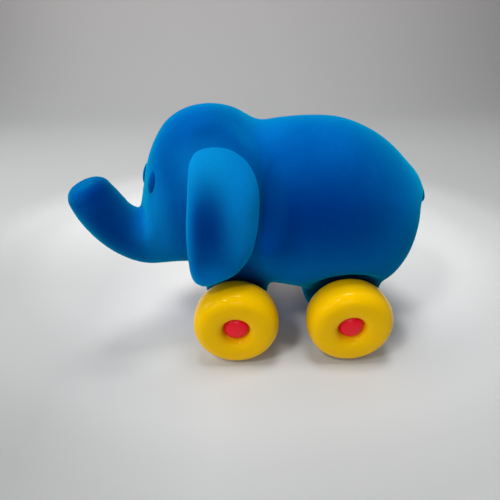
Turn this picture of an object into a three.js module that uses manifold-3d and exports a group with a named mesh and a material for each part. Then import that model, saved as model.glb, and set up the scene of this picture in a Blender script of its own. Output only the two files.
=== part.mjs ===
// A push-along toy elephant on four wheels, in millimetres, +Z up, standing on z = 0.
// It faces -X. Its left side, with the left wheels, is towards -Y.
// The animal is a soft foam moulding with a flocked coat. Two ear flaps, two eyes and a tail
// are bonded to it. Steel axles run through its feet in flanged plastic bushes, and each
// axle end carries a free-turning moulded wheel and a pressed-on domed cap.

import * as THREE from 'three';
import { mergeVertices } from 'three/addons/utils/BufferGeometryUtils.js';
import Module from 'manifold-3d';

const wasm = await Module();
wasm.setup();

// Gaps between separate pieces
const SEAT_GAP = 0.3;
const RUNNING_GAP = 0.1;
const SIDE_PLAY = 0.5;
const CUT_OVERRUN = 6;

// Wheels
const WHEEL_RADIUS = 18.5;
const WHEEL_WIDTH = 17;
const WHEEL_WALL = 2.4;
const TRACK_WIDTH = 80;
const WHEELBASE = 49;
const FRONT_AXLE_X = -11.8;
const HUB_MOUTH_RADIUS = 6.3;
const HUB_RECESS_DEPTH = 5.6;
const RING_INNER_RADIUS = 5.2;
const HUB_TUBE_RADIUS = 4.4;
const TREAD_FLAT_WIDTH = 4;
const RIM_LIP_DEPTH = 2.2;
const RIB_COUNT = 6;
const RIB_THICKNESS = 1.5;
const RIB_SETBACK = 3;
const WHEEL_ROUNDNESS = 2.4;
const WHEEL_SEGMENTS = 30;
// Where the arcs of the wheel's ring section start and end, in shares of a half turn. The
// crown's arc starts at the hub's mouth.
const CROWN_END_SHARE = 0.92;
const backArcShares = [1.08, 1.34];
const hollowArcShares = [0.2, 1];
const CROWN_STEPS = 7;
const BACK_STEPS = 3;
const HOLLOW_STEPS = 4;

// Axles, bushes and caps
const AXLE_RADIUS = 2;
const AXLE_SEGMENTS = 16;
const BUSH_BARREL_RADIUS = 3.4;
const BUSH_BARREL_LENGTH = 8;
const BUSH_FLANGE_RADIUS = 6.5;
const BUSH_FLANGE_THICKNESS = 1.2;
const CAP_RADIUS = 5.8;
const CAP_RIM_THICKNESS = 1.6;
const CAP_DOME_RISE = 1.1;
const CAP_SOCKET_DEPTH = 1.4;
const CAP_DOME_STEPS = 4;
const ROUND_SEGMENTS = 20;

// Torso, measured from the neck to the rump and from the belly to the back
const NECK_X = -1.3;
const TORSO_LENGTH = 71;
const TORSO_WIDTH = 65;
const BELLY_Z = 20.6;
const BACK_Z = 98.8;

// Head, measured from the neck forward and from the chin up
const HEAD_LENGTH = 52.6;
const HEAD_WIDTH = 56;
const CHIN_Z = 41.8;
const HEAD_TOP_Z = 104.8;
const HEAD_TURN = THREE.MathUtils.degToRad(22);
const NECK_TWIST_LENGTH = 25;

// Trunk, measured forward from the face and up from the chin
const TRUNK_REACH = 24.5;
const TRUNK_RISE = 40;
const TRUNK_WIDTH = 22;
const TRUNK_TIP_ROUND = 4.5;

// Outline stations. Each row is a rib of the loft: its upper end (x, z), its lower end (x, z)
// and its half width. Trunk rows are shares of the trunk's reach, rise and width.
const trunkRibShares = [
  [0.33, 0.93, 0.985, 0.79, 0.41],
  [0.3, 0.9, 0.955, 0.725, 0.45],
  [0.26, 0.865, 0.905, 0.635, 0.48],
  [0.215, 0.815, 0.815, 0.52, 0.5],
  [0.165, 0.765, 0.69, 0.395, 0.515],
  [0.095, 0.69, 0.515, 0.265, 0.53],
  [0, 0.64, 0.3, 0.15, 0.54],
];
// Head rows are shares of the head's length (forward from the neck), height and width.
const headRibShares = [
  [0.962, 0.397, 1.068, 0.055, 0.214],
  [0.94, 0.465, 1.01, 0.028, 0.217],
  [0.914, 0.562, 0.95, 0.01, 0.223],
  [0.868, 0.699, 0.875, 0, 0.24],
  [0.793, 0.824, 0.779, -0.006, 0.29],
  [0.684, 0.929, 0.663, -0.015, 0.372],
  [0.529, 0.99, 0.529, -0.045, 0.44],
  [0.356, 0.998, 0.365, -0.095, 0.487],
  [0.183, 0.959, 0.192, -0.16, 0.5],
];
// Torso rows are shares of the torso's length (back from the neck), height and width.
const torsoRibShares = [
  [0, 0.976, 0, 0.056, 0.443],
  [0.137, 0.984, 0.15, 0.025, 0.47],
  [0.308, 0.992, 0.315, 0, 0.492],
  [0.48, 0.98, 0.493, -0.005, 0.5],
  [0.637, 0.93, 0.658, 0, 0.485],
  [0.765, 0.86, 0.795, 0.03, 0.44],
  [0.873, 0.77, 0.884, 0.11, 0.365],
  [0.945, 0.67, 0.942, 0.225, 0.265],
  [0.984, 0.57, 0.977, 0.36, 0.15],
  [0.995, 0.5, 0.993, 0.43, 0.06],
];
const BODY_FULLNESS = 2.15;
const RIB_STEPS = 2;
const SECTION_POINTS = 30;
const END_ROUND_STEPS = 4;

// Feet, which carry the axles
const FRONT_FOOT_LENGTH = 31;
const REAR_FOOT_LENGTH = 42;
const REAR_FOOT_SETBACK = 2.5;
const FOOT_WIDTH = 45;
const FOOT_BOTTOM_Z = 8.5;
const FOOT_ROOT_Z = 46;
const FOOT_SQUARENESS = 3.2;
const footRowShares = [
  [0, 0.5, 0.7],
  [0.025, 0.68, 0.85],
  [0.09, 0.84, 0.95],
  [0.22, 0.93, 1],
  [0.5, 1, 1],
  [1, 1, 1],
];
const WHEEL_WELL_GAP = 2.8;
const WHEEL_WELL_FILLET = 3;
const WHEEL_WELL_FILLET_STEPS = 2;

// Ear flaps: an upright D outline, hanging lower than the cheek, with its front edge toed in
// towards the face. The top and the rear roll over into the head, and the front and the tip
// have a thin rim.
const EAR_LENGTH = 30;
const EAR_HEIGHT = 56.2;
const EAR_THICKNESS = 8;
const EAR_RIM_ROUND = 3;
const EAR_SHOULDER_ROUND = 9;
const EAR_DISH = 1.8;
const EAR_FRONT_X = -36.5;
const EAR_TIP_Z = 38.6;
const EAR_TOE_IN = THREE.MathUtils.degToRad(9);
const EAR_CENTRE_SHARE = 0.5;
const EAR_EDGE_STEPS = 3;
const EAR_FACE_STEPS = 3;
// Round the ear from its lower tip, forward and up: shares of its length and height.
const earOutlineShares = [
  [0.15, 0],
  [0.06, 0.05],
  [0.015, 0.13],
  [0, 0.28],
  [0.01, 0.45],
  [0.045, 0.62],
  [0.085, 0.78],
  [0.14, 0.905],
  [0.26, 0.975],
  [0.39, 1],
  [0.53, 0.995],
  [0.68, 0.965],
  [0.83, 0.9],
  [0.945, 0.8],
  [0.99, 0.67],
  [0.98, 0.525],
  [0.945, 0.385],
  [0.87, 0.265],
  [0.745, 0.155],
  [0.57, 0.065],
  [0.4, 0.025],
  [0.26, -0.005],
];
// How far out the flap's middle stands, from its tip up in even steps: shares of the
// head's width.
const earLeanShares = [0.52, 0.53, 0.53, 0.52, 0.44];
// Where the shoulder starts and is full, in shares of the ear's height and length
const earShoulderShares = [0.6, 0.95];
const EAR_OUTLINE_POINTS = 44;

// Eyes, placed by shares of the way along the skin and round it from the top
const EYE_WIDTH = 6.5;
const EYE_HEIGHT = 9.5;
const EYE_DEPTH = 3.6;
const EYE_ALONG_SHARE = 0.385;
const EYE_AROUND_SHARE = 0.094;
const EYE_SEGMENTS = 16;

// Tail, from its root to its tip by shares of the way along the skin
const TAIL_WIDTH = 9;
const TAIL_THICKNESS = 12;
const TAIL_ROOT_SHARE = 0.25;
const TAIL_END_SHARE = 0.14;
const TAIL_SQUARENESS = 4;
const TAIL_STEPS = 8;
const TAIL_POINTS = 12;
const tailAlongShares = [0.89, 1];

// Places worked out from the sizes above
const AXLE_Z = WHEEL_RADIUS;
const WHEEL_MID_Y = TRACK_WIDTH / 2 - WHEEL_WIDTH / 2;
const WHEEL_INNER_Y = TRACK_WIDTH / 2 - WHEEL_WIDTH;
const FOOT_FACE_Y = WHEEL_INNER_Y - SIDE_PLAY - BUSH_FLANGE_THICKNESS - SEAT_GAP;
const REAR_AXLE_X = FRONT_AXLE_X + WHEELBASE;
const FACE_X = NECK_X - HEAD_LENGTH;
const RING_CENTRE_RADIUS = (WHEEL_RADIUS + RING_INNER_RADIUS) / 2;
const RING_HALF_DEPTH = (WHEEL_RADIUS - RING_INNER_RADIUS) / 2;
const HOLLOW_CENTRE_RADIUS = (WHEEL_RADIUS + HUB_MOUTH_RADIUS) / 2;
const HOLLOW_HALF_DEPTH = (WHEEL_RADIUS - HUB_MOUTH_RADIUS) / 2 - WHEEL_WALL;
const HUB_FLOOR_Y = WHEEL_WIDTH / 2 - HUB_RECESS_DEPTH;
const CAP_FOOT_Y = WHEEL_MID_Y + HUB_FLOOR_Y + SEAT_GAP;
const AXLE_LENGTH = 2 * (CAP_FOOT_Y + CAP_SOCKET_DEPTH - SEAT_GAP);

// Materials
function foamBlue() {
  return new THREE.MeshStandardMaterial({ color: 0x0a6fb4, roughness: 0.95, metalness: 0 });
}
function wheelYellow() {
  return new THREE.MeshStandardMaterial({ color: 0xe2b400, roughness: 0.22, metalness: 0 });
}
function capRed() {
  return new THREE.MeshStandardMaterial({ color: 0xc41c30, roughness: 0.4, metalness: 0 });
}
function bushWhite() {
  return new THREE.MeshStandardMaterial({ color: 0xe8e6df, roughness: 0.6, metalness: 0 });
}
function axleSteel() {
  return new THREE.MeshStandardMaterial({ color: 0xb9bcc0, roughness: 0.35, metalness: 1 });
}

// Geometry helpers
function signedVolume(geometry) {
  const points = geometry.getAttribute('position');
  const index = geometry.getIndex();
  const a = new THREE.Vector3();
  const b = new THREE.Vector3();
  const c = new THREE.Vector3();
  let sum = 0;
  for (let i = 0; i < index.count; i += 3) {
    a.fromBufferAttribute(points, index.getX(i));
    b.fromBufferAttribute(points, index.getX(i + 1));
    c.fromBufferAttribute(points, index.getX(i + 2));
    sum += a.dot(b.cross(c));
  }
  return sum / 6;
}

function welded(geometry) {
  const bare = geometry.clone();
  bare.deleteAttribute('normal');
  bare.deleteAttribute('uv');
  return mergeVertices(bare);
}

function solidOf(geometry) {
  const bare = welded(geometry);
  const triVerts = Uint32Array.from(bare.getIndex().array);
  if (signedVolume(bare) < 0) {
    for (let i = 0; i < triVerts.length; i += 3) {
      [triVerts[i], triVerts[i + 1]] = [triVerts[i + 1], triVerts[i]];
    }
  }
  const vertProperties = Float32Array.from(bare.getAttribute('position').array);
  return new wasm.Manifold(new wasm.Mesh({ numProp: 3, vertProperties, triVerts }));
}

function geometryOf(solid) {
  const mesh = solid.getMesh();
  const geometry = new THREE.BufferGeometry();
  geometry.setAttribute('position', new THREE.BufferAttribute(Float32Array.from(mesh.vertProperties), 3));
  geometry.setIndex(Array.from(mesh.triVerts));
  return geometry;
}

function pieceOf(name, solid, material) {
  const mesh = new THREE.Mesh(geometryOf(solid), material);
  mesh.name = name;
  return mesh;
}

// A closed skin through rings of equally many points, with a point closing each end
function loft(rings) {
  const count = rings[0].length;
  const positions = [];
  const index = [];
  for (const ring of rings) {
    for (const point of ring) {
      positions.push(point.x, point.y, point.z);
    }
  }
  for (const ring of [rings[0], rings[rings.length - 1]]) {
    const centre = new THREE.Vector3();
    ring.forEach((point) => centre.addScaledVector(point, 1 / count));
    positions.push(centre.x, centre.y, centre.z);
  }
  const firstCentre = rings.length * count;
  const lastRing = (rings.length - 1) * count;
  for (let i = 0; i < count; i += 1) {
    const next = (i + 1) % count;
    for (let r = 0; r < lastRing; r += count) {
      index.push(r + i, r + next, r + count + next);
      index.push(r + i, r + count + next, r + count + i);
    }
    index.push(firstCentre, next, i);
    index.push(firstCentre + 1, lastRing + i, lastRing + next);
  }
  const geometry = new THREE.BufferGeometry();
  geometry.setAttribute('position', new THREE.Float32BufferAttribute(positions, 3));
  geometry.setIndex(index);
  return geometry;
}

// Smaller and smaller copies of an end ring that round it off along a direction
function roundedEnd(ring, direction, depth) {
  const centre = new THREE.Vector3();
  ring.forEach((point) => centre.addScaledVector(point, 1 / ring.length));
  const rows = [];
  for (let step = 1; step <= END_ROUND_STEPS; step += 1) {
    const angle = (step / (END_ROUND_STEPS + 1)) * (Math.PI / 2);
    const inset = Math.min(1, depth / ring[0].distanceTo(centre));
    const scale = 1 - inset * (1 - Math.cos(angle));
    rows.push(ring.map((point) => centre.clone()
      .addScaledVector(point.clone().sub(centre), scale)
      .addScaledVector(direction, depth * Math.sin(angle))));
  }
  return rows;
}

function roundPower(value, fullness) {
  return Math.sign(value) * Math.abs(value) ** (2 / fullness);
}

function revolve(outline, segments, tangent) {
  const stretch = tangent ? 1 / Math.cos(Math.PI / segments) : 1;
  const points = outline.map(([radius, y]) => new THREE.Vector2(radius * stretch, y));
  return new THREE.LatheGeometry(points, segments, Math.PI / segments);
}

function placed(solid, x, y, z) {
  return solid.translate([x, y, z]);
}

// The head is turned a little to the left about the neck
function turnAboutNeck(point, angle) {
  const x = point.x - NECK_X;
  const y = point.y;
  point.x = NECK_X + x * Math.cos(angle) - y * Math.sin(angle);
  point.y = x * Math.sin(angle) + y * Math.cos(angle);
  return point;
}

// The neck shares out the turn over its length
function turnAt(x) {
  return HEAD_TURN * THREE.MathUtils.smoothstep(NECK_X - x, 0, NECK_TWIST_LENGTH);
}

// The animal's one-piece skin, lofted rib by rib from the trunk's tip to the rump
function bodyRibs() {
  const headHeight = HEAD_TOP_Z - CHIN_Z;
  const torsoHeight = BACK_Z - BELLY_Z;
  const ribs = [];
  for (const [ux, uz, lx, lz, w] of trunkRibShares) {
    ribs.push({
      upper: new THREE.Vector2(FACE_X - ux * TRUNK_REACH, CHIN_Z + uz * TRUNK_RISE),
      lower: new THREE.Vector2(FACE_X - lx * TRUNK_REACH, CHIN_Z + lz * TRUNK_RISE),
      half: w * TRUNK_WIDTH,
    });
  }
  for (const [ux, uz, lx, lz, w] of headRibShares) {
    ribs.push({
      upper: new THREE.Vector2(NECK_X - ux * HEAD_LENGTH, CHIN_Z + uz * headHeight),
      lower: new THREE.Vector2(NECK_X - lx * HEAD_LENGTH, CHIN_Z + lz * headHeight),
      half: w * HEAD_WIDTH,
    });
  }
  for (const [ux, uz, lx, lz, w] of torsoRibShares) {
    ribs.push({
      upper: new THREE.Vector2(NECK_X + ux * TORSO_LENGTH, BELLY_Z + uz * torsoHeight),
      lower: new THREE.Vector2(NECK_X + lx * TORSO_LENGTH, BELLY_Z + lz * torsoHeight),
      half: w * TORSO_WIDTH,
    });
  }
  return ribs;
}

const ribs = bodyRibs();
const upperLine = new THREE.SplineCurve(ribs.map((rib) => rib.upper));
const lowerLine = new THREE.SplineCurve(ribs.map((rib) => rib.lower));
const halfWidths = new THREE.SplineCurve(ribs.map((rib) => new THREE.Vector2(rib.half, 0)));

// A point of the skin: along runs 0 to 1 from trunk to rump, around is an angle from the top
function skinPoint(along, around) {
  const upper = upperLine.getPoint(along);
  const lower = lowerLine.getPoint(along);
  const half = halfWidths.getPoint(along).x;
  const up = (1 + roundPower(Math.cos(around), BODY_FULLNESS)) / 2;
  const rib = lower.clone().lerp(upper, up);
  const side = half * roundPower(Math.sin(around), BODY_FULLNESS);
  return turnAboutNeck(new THREE.Vector3(rib.x, side, rib.y), turnAt(rib.x));
}

// The skin's outward direction at a point, from its neighbours
function skinNormal(along, around) {
  const step = 1 / (ribs.length * RIB_STEPS);
  const ahead = skinPoint(Math.min(along + step, 1), around);
  const behind = skinPoint(Math.max(along - step, 0), around);
  const turn = Math.PI / SECTION_POINTS;
  const left = skinPoint(along, around + turn);
  const right = skinPoint(along, around - turn);
  return left.sub(right).cross(ahead.sub(behind)).normalize();
}

function bodySkin() {
  const rings = [];
  const ringCount = (ribs.length - 1) * RIB_STEPS + 1;
  for (let r = 0; r < ringCount; r += 1) {
    const ring = [];
    for (let i = 0; i < SECTION_POINTS; i += 1) {
      ring.push(skinPoint(r / (ringCount - 1), (i / SECTION_POINTS) * 2 * Math.PI));
    }
    rings.push(ring);
  }
  const first = rings[0];
  const tipSide = first[0].clone().sub(first[SECTION_POINTS / 2]);
  const tipOut = tipSide.cross(new THREE.Vector3(0, 1, 0)).normalize();
  const tip = roundedEnd(first, tipOut, TRUNK_TIP_ROUND).reverse();
  return loft([...tip, ...rings]);
}

// The same skin pushed outward, used to seat what is bonded to it
function pushedOut(geometry, distance) {
  const bare = welded(geometry);
  bare.computeVertexNormals();
  const points = bare.getAttribute('position');
  const normals = bare.getAttribute('normal');
  const outward = signedVolume(bare) < 0 ? -distance : distance;
  for (let i = 0; i < points.count; i += 1) {
    points.setXYZ(
      i,
      points.getX(i) + normals.getX(i) * outward,
      points.getY(i) + normals.getY(i) * outward,
      points.getZ(i) + normals.getZ(i) * outward,
    );
  }
  return bare;
}

// One pair of feet, moulded as a single block between the two wheels
function footBlock(middleX, length) {
  const rings = footRowShares.map(([rise, long, wide]) => {
    const ring = [];
    const z = FOOT_BOTTOM_Z + rise * (FOOT_ROOT_Z - FOOT_BOTTOM_Z);
    for (let i = 0; i < SECTION_POINTS; i += 1) {
      const angle = (i / SECTION_POINTS) * 2 * Math.PI;
      const x = (length / 2) * long * roundPower(Math.cos(angle), FOOT_SQUARENESS);
      const y = (FOOT_WIDTH / 2) * wide * roundPower(Math.sin(angle), FOOT_SQUARENESS);
      ring.push(new THREE.Vector3(middleX + x, y, z));
    }
    return ring;
  });
  return solidOf(loft(rings));
}

// The hollow over one wheel, flat where the wheel faces the foot
function wheelWell(axleX, side) {
  const radius = WHEEL_RADIUS + WHEEL_WELL_GAP;
  const outline = [[0, FOOT_FACE_Y]];
  const fillet = WHEEL_WELL_FILLET;
  for (let step = 0; step <= WHEEL_WELL_FILLET_STEPS; step += 1) {
    const angle = (step / WHEEL_WELL_FILLET_STEPS) * (Math.PI / 2);
    const inward = fillet * (1 - Math.sin(angle));
    outline.push([radius - inward, FOOT_FACE_Y + fillet * (1 - Math.cos(angle))]);
  }
  outline.push([radius, TRACK_WIDTH / 2 + CUT_OVERRUN]);
  outline.push([0, TRACK_WIDTH / 2 + CUT_OVERRUN]);
  const geometry = revolve(outline, WHEEL_SEGMENTS, true);
  if (side < 0) {
    geometry.rotateZ(Math.PI);
  }
  return placed(solidOf(geometry), axleX, 0, AXLE_Z);
}

function cylinderAlongY(radius, length, segments) {
  return new THREE.CylinderGeometry(radius, radius, length, segments);
}

// The way through a pair of feet for an axle and its two bushes
function axleHole(axleX) {
  const bushRadius = (BUSH_BARREL_RADIUS + SEAT_GAP) / Math.cos(Math.PI / ROUND_SEGMENTS);
  const hole = solidOf(cylinderAlongY(bushRadius, 2 * (FOOT_FACE_Y + CUT_OVERRUN), ROUND_SEGMENTS));
  return placed(hole, axleX, 0, AXLE_Z);
}

const skin = bodySkin();
const seat = solidOf(pushedOut(skin, SEAT_GAP));

function body() {
  let solid = solidOf(skin);
  solid = solid.add(footBlock(FRONT_AXLE_X, FRONT_FOOT_LENGTH));
  solid = solid.add(footBlock(REAR_AXLE_X + REAR_FOOT_SETBACK, REAR_FOOT_LENGTH));
  for (const axleX of [FRONT_AXLE_X, REAR_AXLE_X]) {
    for (const side of [-1, 1]) {
      solid = solid.subtract(wheelWell(axleX, side));
    }
    solid = solid.subtract(axleHole(axleX));
  }
  return pieceOf('body', solid, foamBlue());
}

// How far out the middle of an ear stands at a share of its height
function earLean(rise) {
  const curve = new THREE.SplineCurve(earLeanShares.map((share, i) => new THREE.Vector2(i, share)));
  return curve.getPoint(THREE.MathUtils.clamp(rise, 0, 1)).y * HEAD_WIDTH;
}

// The radius of an ear's edge: a thin rim, or on the outer side the wide shoulder
function earEdgeRound(share, out) {
  const [start, full] = earShoulderShares;
  const shoulder = THREE.MathUtils.smoothstep(Math.max(share.x, share.y), start, full);
  return THREE.MathUtils.lerp(EAR_RIM_ROUND, EAR_SHOULDER_ROUND, out > 0 ? shoulder : 0);
}

// One ear flap: rings round its D outline, over the rim and across both faces
function ear(side) {
  const curve = new THREE.SplineCurve(
    [...earOutlineShares, earOutlineShares[0]].map(([x, z]) => new THREE.Vector2(x, z)),
  );
  const outline = curve.getPoints(EAR_OUTLINE_POINTS).slice(0, EAR_OUTLINE_POINTS);
  const centre = new THREE.Vector2(EAR_CENTRE_SHARE, EAR_CENTRE_SHARE);
  // Each row is a share of the flat face, a share of the rounded edge and a share outward
  const rows = [];
  for (let step = 1; step <= EAR_FACE_STEPS; step += 1) {
    rows.push([step / (EAR_FACE_STEPS + 1), 0, -1]);
  }
  for (let step = 0; step <= 2 * EAR_EDGE_STEPS; step += 1) {
    const angle = (step / (2 * EAR_EDGE_STEPS) - 1 / 2) * Math.PI;
    rows.push([1, Math.cos(angle), Math.sin(angle)]);
  }
  for (let step = EAR_FACE_STEPS; step >= 1; step -= 1) {
    rows.push([step / (EAR_FACE_STEPS + 1), 0, 1]);
  }
  const rings = rows.map(([face, edge, out]) => outline.map((share) => {
    const insetShare = earEdgeRound(share, out) / (EAR_LENGTH / 2);
    const scale = (1 - insetShare) * face + insetShare * edge;
    const place = centre.clone().lerp(share, scale);
    const dish = out > 0 ? EAR_DISH * (1 - scale * scale) * out : 0;
    const y = earLean(place.y) + (EAR_THICKNESS / 2) * out - dish;
    return turnAboutNeck(new THREE.Vector3(
      EAR_FRONT_X + place.x * EAR_LENGTH,
      side * y,
      EAR_TIP_Z + place.y * EAR_HEIGHT,
    ), HEAD_TURN + side * EAR_TOE_IN);
  }));
  const solid = solidOf(loft(rings)).subtract(seat);
  return pieceOf(side < 0 ? 'left_ear' : 'right_ear', solid, foamBlue());
}

// One raised oval eye, bonded to the front of the face
function eye(side) {
  const around = side * EYE_AROUND_SHARE * 2 * Math.PI;
  const place = skinPoint(EYE_ALONG_SHARE, around);
  const out = skinNormal(EYE_ALONG_SHARE, around);
  const oval = new THREE.SphereGeometry(1, EYE_SEGMENTS, EYE_SEGMENTS / 2);
  oval.scale(EYE_WIDTH / 2, EYE_HEIGHT / 2, EYE_DEPTH / 2);
  const up = new THREE.Vector3(0, 0, 1);
  const across = up.clone().cross(out).normalize();
  const tall = out.clone().cross(across);
  oval.applyMatrix4(new THREE.Matrix4().makeBasis(across, tall, out).setPosition(place));
  const solid = solidOf(oval).subtract(seat);
  return pieceOf(side < 0 ? 'left_eye' : 'right_eye', solid, foamBlue());
}

// The short tail, a lobe down the middle of the rump that stands prouder towards its tip
function tail() {
  const rings = [];
  for (let step = 0; step <= TAIL_STEPS; step += 1) {
    const share = step / TAIL_STEPS;
    const along = THREE.MathUtils.lerp(tailAlongShares[0], tailAlongShares[1], share);
    const centre = skinPoint(along, 0);
    const out = skinNormal(along, 0);
    const roundShare = Math.sqrt(1 - (2 * share - 1) ** TAIL_SQUARENESS);
    const swell = Math.max(TAIL_END_SHARE, roundShare);
    const proud = (TAIL_THICKNESS / 2) * THREE.MathUtils.lerp(TAIL_ROOT_SHARE, 1, share) * swell;
    const ring = [];
    for (let i = 0; i < TAIL_POINTS; i += 1) {
      const angle = (i / TAIL_POINTS) * 2 * Math.PI;
      ring.push(centre.clone()
        .addScaledVector(out, proud * Math.cos(angle))
        .add(new THREE.Vector3(0, (TAIL_WIDTH / 2) * swell * Math.sin(angle), 0)));
    }
    rings.push(ring);
  }
  return pieceOf('tail', solidOf(loft(rings)).subtract(seat), foamBlue());
}

// Part of a ring section, which runs from the hub's side over the crown to the tread's
function ringArc(centreRadius, radialHalf, axialHalf, arcShares, steps) {
  const points = [];
  for (let step = 0; step <= steps; step += 1) {
    const angle = THREE.MathUtils.lerp(arcShares[0], arcShares[1], step / steps) * Math.PI;
    points.push([
      centreRadius - radialHalf * roundPower(Math.cos(angle), WHEEL_ROUNDNESS),
      axialHalf * roundPower(Math.sin(angle), WHEEL_ROUNDNESS),
    ]);
  }
  return points;
}

// The wheel: a moulded shell with an open ribbed back, a hub tube and a recess for the cap
function wheel() {
  const half = WHEEL_WIDTH / 2;
  const mouthShare = ((RING_CENTRE_RADIUS - HUB_MOUTH_RADIUS) / RING_HALF_DEPTH) ** (WHEEL_ROUNDNESS / 2);
  const crownArcShares = [Math.acos(mouthShare) / Math.PI, CROWN_END_SHARE];
  const ring = [RING_CENTRE_RADIUS, RING_HALF_DEPTH, half];
  const crown = ringArc(...ring, crownArcShares, CROWN_STEPS);
  const back = ringArc(...ring, backArcShares, BACK_STEPS);
  const tread = [
    [WHEEL_RADIUS, TREAD_FLAT_WIDTH / 2],
    [WHEEL_RADIUS, -TREAD_FLAT_WIDTH / 2],
  ];
  const lipRadius = back[back.length - 1][0];
  const innerHalf = half - WHEEL_WALL;
  const bore = AXLE_RADIUS + RUNNING_GAP;
  const envelope = [
    [bore, -half],
    [bore, HUB_FLOOR_Y],
    [HUB_MOUTH_RADIUS, HUB_FLOOR_Y],
    ...crown,
    ...tread,
    ...back,
    [lipRadius, -half],
  ];
  const cavity = [
    [HUB_TUBE_RADIUS, -half - CUT_OVERRUN],
    [HUB_TUBE_RADIUS, HUB_FLOOR_Y - WHEEL_WALL],
    [HOLLOW_CENTRE_RADIUS - HOLLOW_HALF_DEPTH, HUB_FLOOR_Y - WHEEL_WALL],
    ...ringArc(HOLLOW_CENTRE_RADIUS, HOLLOW_HALF_DEPTH, innerHalf, hollowArcShares, HOLLOW_STEPS),
    [lipRadius - WHEEL_WALL, -half + RIM_LIP_DEPTH],
    [lipRadius - WHEEL_WALL, -half - CUT_OVERRUN],
  ];
  const full = solidOf(revolve([...envelope, envelope[0]], WHEEL_SEGMENTS, true));
  const hollow = solidOf(revolve([...cavity, cavity[0]], WHEEL_SEGMENTS, true));
  let solid = full.subtract(hollow);
  const ribFrom = HUB_TUBE_RADIUS - WHEEL_WALL / 2;
  const ribTo = WHEEL_RADIUS - WHEEL_WALL / 2;
  const ribDepth = innerHalf + half - RIB_SETBACK;
  for (let i = 0; i < RIB_COUNT; i += 1) {
    const plate = new THREE.BoxGeometry(RIB_THICKNESS, ribDepth, ribTo - ribFrom);
    plate.translate(0, -half + RIB_SETBACK + ribDepth / 2, (ribFrom + ribTo) / 2);
    plate.rotateY((i / RIB_COUNT) * 2 * Math.PI);
    solid = solid.add(solidOf(plate).intersect(full));
  }
  return solid;
}

// The domed cap that holds a wheel on, with a blind socket for the axle's end
function cap() {
  const outline = [[0, 0], [CAP_RADIUS, 0], [CAP_RADIUS, CAP_RIM_THICKNESS]];
  for (let step = 1; step <= CAP_DOME_STEPS; step += 1) {
    const angle = (step / CAP_DOME_STEPS) * (Math.PI / 2);
    outline.push([
      CAP_RADIUS * Math.cos(angle),
      CAP_RIM_THICKNESS + CAP_DOME_RISE * Math.sin(angle),
    ]);
  }
  const socketRadius = AXLE_RADIUS + RUNNING_GAP;
  const socket = [
    [0, -CUT_OVERRUN],
    [socketRadius, -CUT_OVERRUN],
    [socketRadius, CAP_SOCKET_DEPTH],
    [0, CAP_SOCKET_DEPTH],
  ];
  const disc = solidOf(revolve(outline, ROUND_SEGMENTS, false));
  return disc.subtract(solidOf(revolve(socket, ROUND_SEGMENTS, true)));
}

// The flanged bush in a foot: its barrel lies in the foam, its flange faces the wheel
function bush() {
  const bore = AXLE_RADIUS + RUNNING_GAP;
  const outline = [
    [bore, 0],
    [BUSH_BARREL_RADIUS, 0],
    [BUSH_BARREL_RADIUS, BUSH_BARREL_LENGTH],
    [BUSH_FLANGE_RADIUS, BUSH_BARREL_LENGTH],
    [BUSH_FLANGE_RADIUS, BUSH_BARREL_LENGTH + BUSH_FLANGE_THICKNESS],
    [bore, BUSH_BARREL_LENGTH + BUSH_FLANGE_THICKNESS],
    [bore, 0],
  ];
  return solidOf(revolve(outline, ROUND_SEGMENTS, true));
}

function axle(name) {
  const rod = solidOf(cylinderAlongY(AXLE_RADIUS, AXLE_LENGTH, AXLE_SEGMENTS));
  return pieceOf(name, rod, axleSteel());
}

const wheelSolid = wheel();
const capSolid = cap();
const bushSolid = bush();

// One end of an axle, built outward along its own +Y and turned about for the left side
function axleEnd(place, side) {
  const end = new THREE.Group();
  const label = side < 0 ? 'left' : 'right';
  const wheelPiece = pieceOf(`${place}_${label}_wheel`, wheelSolid, wheelYellow());
  wheelPiece.position.y = WHEEL_MID_Y;
  const capPiece = pieceOf(`${place}_${label}_cap`, capSolid, capRed());
  capPiece.position.y = CAP_FOOT_Y;
  const bushPiece = pieceOf(`${place}_${label}_bush`, bushSolid, bushWhite());
  bushPiece.position.y = FOOT_FACE_Y + SEAT_GAP - BUSH_BARREL_LENGTH;
  end.add(wheelPiece, capPiece, bushPiece);
  end.rotation.z = side < 0 ? Math.PI : 0;
  return end;
}

function axleSet(place, axleX) {
  const set = new THREE.Group();
  set.add(axle(`${place}_axle`), axleEnd(place, -1), axleEnd(place, 1));
  set.position.set(axleX, 0, AXLE_Z);
  return set;
}

const elephant = new THREE.Group();
elephant.add(body(), tail());
for (const side of [-1, 1]) {
  elephant.add(ear(side), eye(side));
}
elephant.add(axleSet('front', FRONT_AXLE_X), axleSet('rear', REAR_AXLE_X));

export default elephant;
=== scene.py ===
# A push-along toy elephant with a soft flocked body and glossy moulded wheels, on a pale table.
# Sizes are written in millimetres, as in the CAD source, and go into Blender in metres.
import math

import bpy
import numpy as np
from mathutils import Matrix, Vector

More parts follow.
